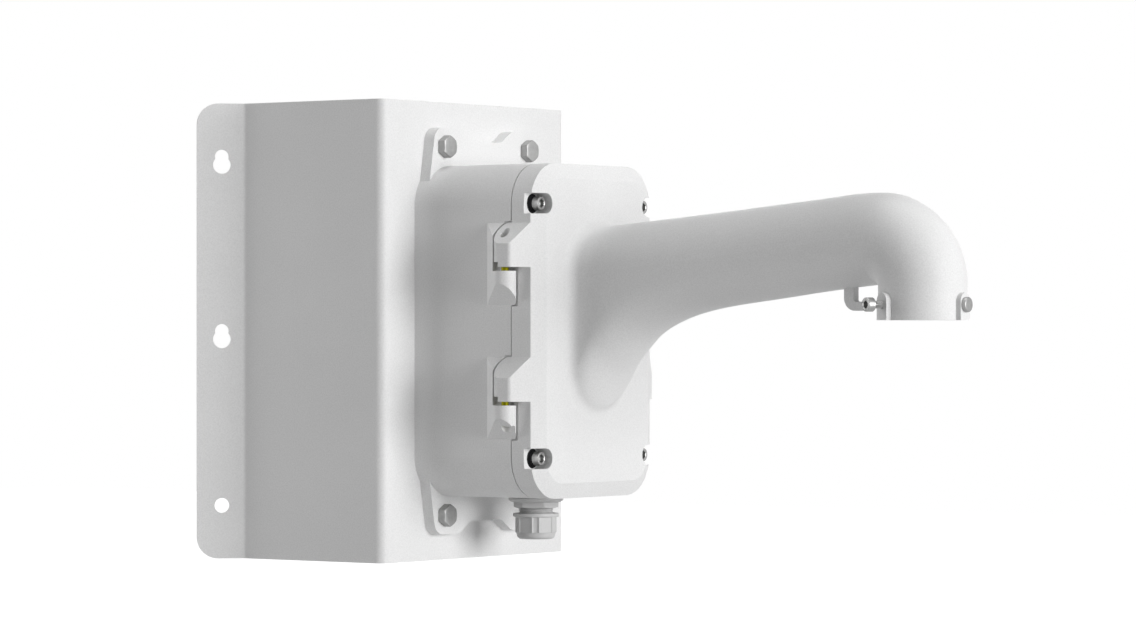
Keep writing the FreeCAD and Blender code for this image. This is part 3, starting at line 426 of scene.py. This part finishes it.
# Locking screws of the collar and its thread; PAD is how far the arched pads stand from its axis

COLLAR = (0.0, -365.0)
PAD = 30.4
LOCK_SPOT = (*COLLAR, 16.2)
LOCK_SHANK = 2.4
LOCK_TIP = PAD - 7.4


def lock_screw_front():
    """Locking screw driven home: its plain button stands on the arched pad, with a rolled rim."""
    rows = [(0, LOCK_TIP), (1.8, LOCK_TIP), (LOCK_SHANK, PAD - 6.8), (LOCK_SHANK, PAD), (4.45, PAD),
            (4.7, PAD + 0.25), (4.7, PAD + 2.0), (4.62, PAD + 2.4), (4.4, PAD + 2.7), (4.05, PAD + 2.86),
            (3.6, PAD + 2.9), (0, PAD + 2.9)]
    mesh = turned("front_lock", rows, LOCK_SPOT, OUT)
    place_piece("lock_screw_front", mesh, "cover", "screw_steel", "collar_screw_front")


def lock_screw_rear(label, turn_degrees):
    """Locking screw backed out: a polished cap head with a hexagon socket on a threaded shank that
    shows 6.6 mm of its 0.8 mm thread."""
    seat = PAD + 6.6
    top = seat + 5.3
    head, socket, socket_flat = 4.4, 2.5, 2.2
    rows = [(0, LOCK_TIP), (1.8, LOCK_TIP)] + straight(LOCK_SHANK, PAD - 6.9, seat - 0.05, 0.1)
    rows += [(LOCK_SHANK, seat), (4.1, seat), (head, seat + 0.3), (head, top - 0.7), (4.33, top - 0.4),
             (4.15, top - 0.16), (3.85, top), (2.75, top), (socket, top - 0.3, socket_flat),
             (socket, top - 1.0, socket_flat), (socket, top - 3.0, socket_flat), (2.1, top - 3.05),
             (0, top - 3.7)]
    thread = thread_ripple(PAD - 6.9, seat - 0.1, 0.8, 0.4, LOCK_SHANK)
    turn = math.radians(turn_degrees)
    axis = (math.sin(turn), -math.cos(turn), 0)
    mesh = turned("rear_lock_" + label, rows, LOCK_SPOT, axis, ripple=thread)
    place_piece("lock_screw_" + label, mesh, "cover", "screw_steel", "collar_screw_" + label)


def collar_thread():
    """The collar's pipe thread: a ring whose inner wall swings as a triangle wave, 2.31 mm a turn and
    0.9 mm deep, that fades out over 2 mm at both ends."""
    low, high = 7.6, 27.6
    crest, root = 22.35, 22.7
    rows = straight(crest, low, high, 0.29) + [(root, high), (root, low)]

    def ripple(angle, radius, height):
        """-0.9 wave fade, on the inner wall alone."""
        fade = np.clip((height - low) / 2.0, 0, 1) * np.clip((high - height) / 2.0, 0, 1)
        return -0.9 * thread_wave(angle, height, 2.31) * fade * (radius < root)
    mesh = turned("thread", rows, (*COLLAR, 0), UP, around=180, ripple=ripple, closed=True)
    place_piece("collar_thread", mesh, "cover", "white_powder_coat_arm")


lock_screw_front()
lock_screw_rear("left", -115.0)
lock_screw_rear("right", 115.0)
collar_thread()


# Cable gland: heights along its axis, from the box's underside down to the cap's

GLAND = (0.0, -69.1, 0)
BOX_LOW = -108.0
SEAL_LOW = BOX_LOW - 1.2
SHOULDER = SEAL_LOW - 2.9
HEX_LOW = SHOULDER - 4.0
CAP_TOP = HEX_LOW - 3.3
SHELF = CAP_TOP - 2.4
CAP_LOW = SHELF - 10.3 - 4.2


def gland_seal():
    """Flat rubber washer, squeezed to a slight bulge between flange and box."""
    low, high = SEAL_LOW, BOX_LOW
    bore = 12.75
    rows = [(bore, low + 0.02), (17.0, low + 0.02), (17.3, low + 0.25), (17.4, (low + high) / 2),
            (17.3, high - 0.25), (17.0, high - 0.02), (bore, high - 0.02)]
    mesh = turned("seal_washer", rows, GLAND, UP, around=96, closed=True)
    place_piece("gland_seal_washer", mesh, "housing", "seal_rubber", "gland_seal")


def gland_body():
    """Gland body, one moulding: a thin flange with a bevelled underside, a hexagon with chamfered
    corners, a threaded neck below it and the threaded stub that passes through the box."""
    neck_low = HEX_LOW - 9.0
    stub_high = SEAL_LOW + 16.0
    neck, stub, half_flat, hex_corner = 11.3, 12.4, 13.0, 15.2
    rows = [(8.65, neck_low + 0.1), (neck - 0.8, neck_low + 0.1)]
    rows += straight(neck, neck_low + 0.9, HEX_LOW - 0.2, 0.13)
    rows += [(neck - 0.3, HEX_LOW), (12.4, HEX_LOW)]
    rows += cone(12.6, hex_corner, HEX_LOW + 0.05, HEX_LOW + 0.8, half_flat)
    rows += [(hex_corner, SHOULDER - 0.3, half_flat), (hex_corner, SHOULDER, half_flat)]
    rows += [(16.5, SHOULDER + 0.15), (17.5, SHOULDER + 0.95), (17.88, SHOULDER + 1.3),
             (18.0, SHOULDER + 1.6), (18.0, SEAL_LOW - 0.4), (17.85, SEAL_LOW - 0.1), (17.6, SEAL_LOW),
             (stub, SEAL_LOW)]
    rows += straight(stub, SEAL_LOW + 0.2, stub_high - 1.0, 0.19)
    rows += [(11.6, stub_high), (9.2, stub_high), (8.6, stub_high - 0.6)]
    lower = thread_ripple(neck_low + 0.8, HEX_LOW - 0.3, 1.1, 0.75, neck)
    upper = thread_ripple(SEAL_LOW + 6.0, stub_high - 0.9, 1.5, 0.7, stub)

    def both(angle, radius, height):
        """The two threads lie on different rows, so their ripples add up."""
        return lower(angle, radius, height) + upper(angle, radius, height)
    mesh = turned("gland", rows, GLAND, UP, start=math.radians(28.7), ripple=both, closed=True)
    place_piece("gland_flange_and_neck", mesh, "housing", "grey_nylon", "gland_body")


def gland_locknut():
    """Moulded locknut inside the box, chamfered at its upper face."""
    low, high = -100.0, -95.0
    half_flat, hex_corner = 15.0, 17.4
    rows = [(12.5, low), (15.9, low)] + cone(17.3, hex_corner, low + 0.05, low + 0.5, half_flat, 2)
    rows += cone(hex_corner, 14.6, high - 1.4, high - 0.1, half_flat)
    rows += [(14.4, high), (13.2, high), (12.5, high - 0.7)]
    mesh = turned("locknut", rows, GLAND, UP, closed=True)
    place_piece("gland_lock_nut", mesh, "housing", "grey_nylon", "gland_locknut")


def gland_insert():
    """Rubber sleeve that the cap squeezes on the cable; its lower lip is rounded."""
    low, high = CAP_LOW + 3.4, HEX_LOW
    rows = [(6.05, low + 0.7), (6.25, low + 0.2), (6.75, low + 0.05), (7.8, low + 0.05), (8.3, low + 0.25),
            (8.45, low + 0.7), (8.45, high - 0.3), (8.1, high - 0.02), (6.4, high - 0.02), (6.05, high - 0.4)]
    mesh = turned("insert", rows, GLAND, UP, around=96, closed=True)
    place_piece("gland_rubber_sleeve", mesh, "housing", "seal_rubber", "gland_insert")


def gland_cap():
    """Gland cap: a plain rim, then six flat panels between rounded corners, each corner with a thin grip
    ridge at either side, and below them a smooth nose that rounds in to the hole."""
    hole, bore, body, rim, half_flat = 7.2, 12.45, 13.75, 15.1, 13.1
    ridge_low = CAP_LOW + 4.4
    nose, bend = 12.6, 2.7
    rows = [(hole, CAP_LOW + 0.5), (hole + 0.4, CAP_LOW + 0.08)]
    rows += [(nose - bend * (1 - math.sin(a)), CAP_LOW + bend * (1 - math.cos(a)))
             for a in np.linspace(0, math.pi / 2, 9)]
    rows += [(13.05, ridge_low - 0.15), (13.1, ridge_low - 0.03), (body - 0.1, ridge_low, half_flat)]
    rows += straight(body, ridge_low + 0.15, ridge_low + 0.75, 0.2, half_flat)
    rows += straight(body, ridge_low + 1.0, SHELF - 0.05, 1.0, half_flat)
    rows += [(13.8, SHELF), (14.7, SHELF), (15.0, SHELF + 0.25), (rim, SHELF + 0.6), (rim, CAP_TOP - 0.5),
             (14.9, CAP_TOP - 0.1), (14.6, CAP_TOP), (12.75, CAP_TOP), (bore, CAP_TOP - 0.4),
             (bore, CAP_LOW + 4.35), (11.6, CAP_LOW + 3.45), (hole + 0.2, CAP_LOW + 3.4),
             (hole, CAP_LOW + 3.1)]

    def ridges(angle, radius, height):
        """On each of the six panels, two ridges 0.55 mm high and a groove 0.25 mm deep between them, all
        of the form exp(-((beat - middle) / half width) ** 4)."""
        beat = (angle * 6 / (2 * math.pi)) % 1.0
        pair = np.exp(-((beat - 0.34) / 0.04) ** 4) + np.exp(-((beat - 0.66) / 0.04) ** 4)
        groove = np.exp(-((beat - 0.5) / 0.09) ** 4)
        on_body = (height > ridge_low - 0.01) & (height < SHELF - 0.01) & (radius > body - 0.2)
        return (0.55 * pair - 0.25 * groove) * on_body
    mesh = turned("cap", rows, GLAND, UP, around=480, start=math.radians(4.9), ripple=ridges, closed=True)
    place_piece("gland_ribbed_cap", mesh, "housing", "grey_nylon", "gland_cap")


gland_seal()
gland_body()
gland_locknut()
gland_insert()
gland_cap()


# Hinge pins: each crosses the gap between a knuckle of the box and one of the cover

HINGE_AXIS = (-73.2, -98.2, 0)
KNUCKLE_GAP = 2.5
UPPER_GAP_LOW = 38.4
LOWER_GAP_LOW = -47.6


def hinge_pin(label, low, high):
    """Turned pin with chamfered ends."""
    rows = [(0, low), (1.9, low), (2.5, low + 0.6), (2.5, high - 0.6), (1.9, high), (0, high)]
    mesh = turned("pin_" + label, rows, HINGE_AXIS, UP, around=72)
    place_piece("turned_pin_" + label, mesh, "housing", "yellow_pin_steel", "hinge_pin_" + label)


hinge_pin("upper", UPPER_GAP_LOW - 11.0, UPPER_GAP_LOW + KNUCKLE_GAP + 14.0)
hinge_pin("lower", LOWER_GAP_LOW - 11.8, LOWER_GAP_LOW + KNUCKLE_GAP + 10.5)


# Earth terminal, on a boss of the box's floor

EARTH_SPOT = (30.0, 0, -78.0)
BOX_FLOOR = 6.0
EARTH_BOSS = 5.0
EARTH_SEAT = PLATE_FRONT + BOX_FLOOR + EARTH_BOSS
EARTH_TOP = EARTH_SEAT + 1.2


def earth_washer():
    """Brass washer with a rolled rim."""
    low, high = EARTH_SEAT, EARTH_TOP
    rows = [(3.2, low + 0.02), (6.2, low + 0.02), (6.4, low + 0.3), (6.35, high - 0.25), (6.1, high),
            (3.5, high), (3.2, high - 0.3)]
    mesh = turned("earth_ring", rows, EARTH_SPOT, OUT, around=72, closed=True)
    place_piece("earth_terminal_washer", mesh, "housing", "earth_brass", "earth_washer")


def earth_screw():
    """Brass screw with a domed head and a hexagon socket."""
    low, seat = EARTH_SEAT - 7, EARTH_TOP
    top = seat + 3.6
    shank, head, socket, socket_flat = 2.9, 5.5, 1.62, 1.5
    rows = [(0, low), (2.5, low), (shank, low + 0.5), (shank, seat), (5.3, seat), (head, seat + 0.3),
            (head, top - 1.3), (5.2, top - 0.6), (4.6, top - 0.15), (3.9, top), (1.75, top),
            (socket, top - 0.2, socket_flat), (socket, top - 2.3, socket_flat), (0, top - 2.7)]
    mesh = turned("earth_bolt", rows, EARTH_SPOT, OUT)
    place_piece("earth_terminal_screw", mesh, "housing", "earth_brass", "earth_screw")


earth_washer()
earth_screw()


# Seal between box and cover

def cover_seal():
    """The seal follows the CAD ring: a copy of it with its doubles merged and its edges rounded 0.5 mm,
    as an extruded rubber bead is."""
    mesh = frame["nodes"]["cover_gasket"].data.copy()
    mesh.name = "seal_bead"
    mesh.materials.clear()
    piece = place_piece("cover_seal_bead", mesh, "housing", "seal_rubber", "cover_gasket")
    weld = piece.modifiers.new("weld", "WELD")
    weld.merge_threshold = 0.005 * MM
    soften = piece.modifiers.new("round_bead", "BEVEL")
    soften.width = 0.5 * MM
    soften.segments = 3
    soften.limit_method = "ANGLE"
    soften.angle_limit = math.radians(50)


cover_seal()


# Studio

FLOOR_Z = -0.30
FLOOR_HALF = 4.0
LAMP_TARGET = (0.0, -0.12, 0.0)
FILL = 0.06
PHOTO_WIDE_PX = 1136


def seen_share(tree):
    """1 for rays that come from the camera, a mirror or glass, 0 for those that light the object."""
    ray = add(tree, "ShaderNodeLightPath")
    mirrored = larger(tree, (ray, "Is Camera Ray"), (ray, "Is Glossy Ray"))
    return larger(tree, (mirrored, 0), (ray, "Is Transmission Ray"))


def backdrop_paper():
    """Matt white backdrop paper. Where it is seen directly it is drawn white, and near the object a
    quarter of its own shading is kept, so that the object's shadow shows."""
    material, tree = new_material("white_backdrop_paper")
    place = add(tree, "ShaderNodeTexCoord")
    tone = swing(tree, (noise(tree, place, 4, 1.0), "Fac"), 1.0, 0.01)
    matt = add(tree, "ShaderNodeBsdfDiffuse", Color=(tinted(tree, "#D8D8D8", tone), 0))
    glow = add(tree, "ShaderNodeEmission", Color=(1, 1, 1, 1), Strength=1.16)
    reach = add(tree, "ShaderNodeVectorMath", {"operation": "LENGTH"}, in0=(place, "Object"))
    far = add(tree, "ShaderNodeMapRange", {"interpolation_type": "SMOOTHSTEP"}, Value=(reach, "Value"),
              From_Min=0.6, From_Max=1.5, To_Min=0.75, To_Max=1.0)
    share = product(tree, (seen_share(tree), 0), (far, 0))
    mix = add(tree, "ShaderNodeMixShader", in0=(share, 0), in1=(matt, 0), in2=(glow, 0))
    add(tree, "ShaderNodeOutputMaterial", Surface=(mix, 0))
    return material


def studio_floor():
    """A square of backdrop paper below the hanging bracket."""
    mesh = bpy.data.meshes.new("studio_floor")
    corners = [(x * FLOOR_HALF, y * FLOOR_HALF, FLOOR_Z) for x, y in ((-1, -1), (1, -1), (1, 1), (-1, 1))]
    mesh.from_pydata(corners, [], [(0, 1, 2, 3)])
    mesh.materials.append(backdrop_paper())
    new_object("studio_floor", mesh)


def studio_air():
    """White air: strength 1 where it is seen or mirrored, and FILL as light on the object."""
    world = bpy.data.worlds.new("studio_air")
    world.use_nodes = True
    tree = world.node_tree
    tree.nodes.clear()
    level = add(tree, "ShaderNodeMath", {"operation": "MULTIPLY_ADD"}, in0=(seen_share(tree), 0),
                in1=1 - FILL, in2=FILL)
    air = add(tree, "ShaderNodeBackground", Color=(1, 1, 1, 1), Strength=(level, 0))
    add(tree, "ShaderNodeOutputWorld", Surface=(air, 0))
    bpy.context.scene.world = world


def softbox(name, place, size, watts):
    """A square lamp of the given side that faces the middle of the object."""
    data = bpy.data.lights.new(name, "AREA")
    data.shape = "SQUARE"
    data.size = size
    data.energy = watts
    lamp = new_object(name, data)
    lamp.location = place
    lamp.rotation_euler = (Vector(LAMP_TARGET) - Vector(place)).to_track_quat("-Z", "Y").to_euler()


def photo_camera():
    """The photograph's own view, found by fitting known edges of the bracket."""
    data = bpy.data.cameras.new("photo_camera")
    data.sensor_width = 36.0
    data.lens = 141.07
    data.shift_y = 11.5 / PHOTO_WIDE_PX
    data.clip_end = 50
    camera = new_object("photo_camera", data)
    camera.location = (-2.3581, -1.79445, 0.0)
    camera.rotation_euler = (math.radians(90), 0, math.radians(-54.22))
    bpy.context.scene.camera = camera


studio_floor()
studio_air()
softbox("key_softbox", (-0.17, -4.41, 0.15), 2.5, 221)
softbox("top_softbox", (0.00, -0.20, 2.20), 1.3, 20)
softbox("back_softbox", (-1.39, 1.54, 0.38), 1.3, 12)
softbox("far_softbox", (1.74, 1.10, 0.57), 1.3, 6)
photo_camera()
bpy.context.scene.view_settings.view_transform = "Standard"
